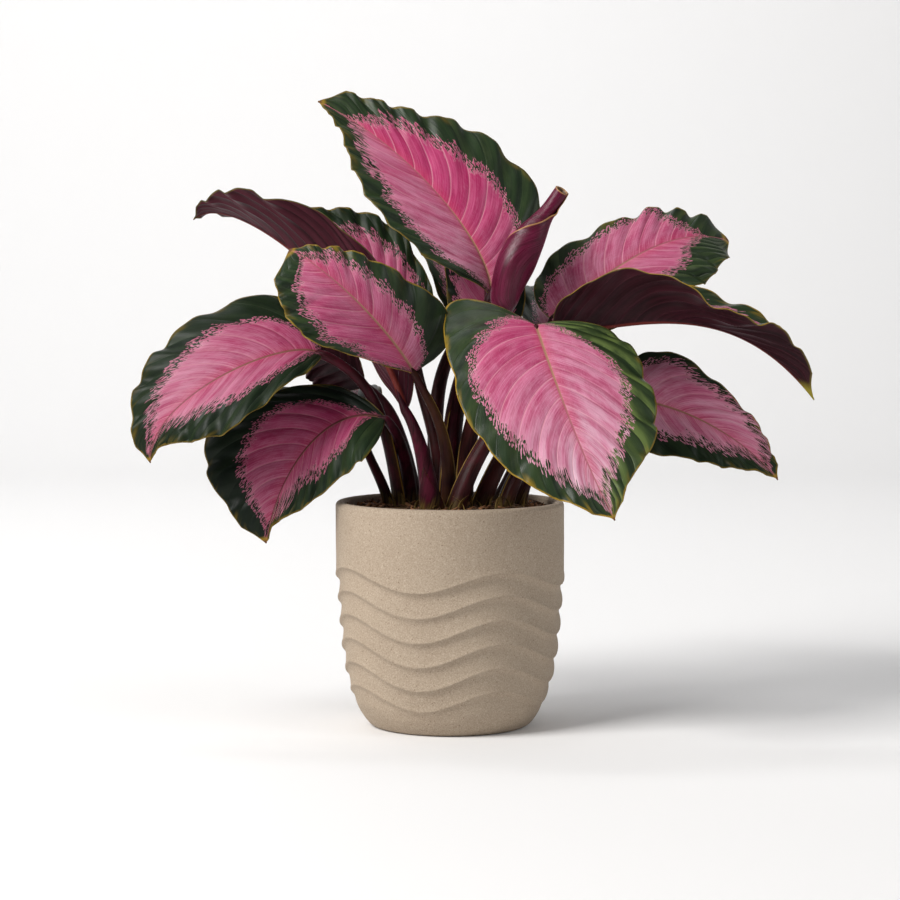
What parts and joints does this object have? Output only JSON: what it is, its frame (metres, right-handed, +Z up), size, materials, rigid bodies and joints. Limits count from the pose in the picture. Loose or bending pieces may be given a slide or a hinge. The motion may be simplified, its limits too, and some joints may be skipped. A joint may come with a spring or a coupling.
{
  "type": "potted calathea",
  "caption": "Potted calathea: broad pink-centred leaves with dark green borders and maroon undersides on slim maroon stems, in a round stoneware pot with wave relief.",
  "frame": {"origin": "centre of the pot's foot, on the plane it stands on", "axes": "+Z up, +X to the right of the plant as seen from its front, +Y towards its back"},
  "size_m": [0.4425, 0.3005, 0.4175],
  "materials": {
    "stoneware": "matte, fine speckle",
    "potting_mix": "loose bark and fibre, matte",
    "leaf_blade": "satin, pink centre, dark green border, maroon underside",
    "young_leaf": "satin magenta maroon",
    "stem": "satin maroon with yellow edges"
  },
  "bodies": {
    "root": {"pot": "stoneware", "soil": "potting_mix", "leaf_top": "leaf_blade", "leaf_front": "leaf_blade", "leaf_mid_left": "leaf_blade", "leaf_far_left": "leaf_blade", "leaf_low_left": "leaf_blade", "leaf_back_left": "leaf_blade", "leaf_arching_left": "leaf_blade", "leaf_arching_right": "leaf_blade", "leaf_back_right": "leaf_blade", "leaf_low_right": "leaf_blade", "leaf_behind": "leaf_blade", "leaf_inner_left": "leaf_blade", "leaf_rear_left": "leaf_blade", "leaf_rear_high": "leaf_blade", "leaf_rear_right": "leaf_blade", "leaf_rolled": "young_leaf", "stem_top": "stem", "stem_front": "stem", "stem_mid_left": "stem", "stem_far_left": "stem", "stem_low_left": "stem", "stem_back_left": "stem", "stem_arching_left": "stem", "stem_arching_right": "stem", "stem_back_right": "stem", "stem_low_right": "stem", "stem_behind": "stem", "stem_inner_left": "stem", "stem_rear_left": "stem", "stem_rear_high": "stem", "stem_rear_right": "stem", "stem_rolled": "stem"}
  },
  "joints": []
}
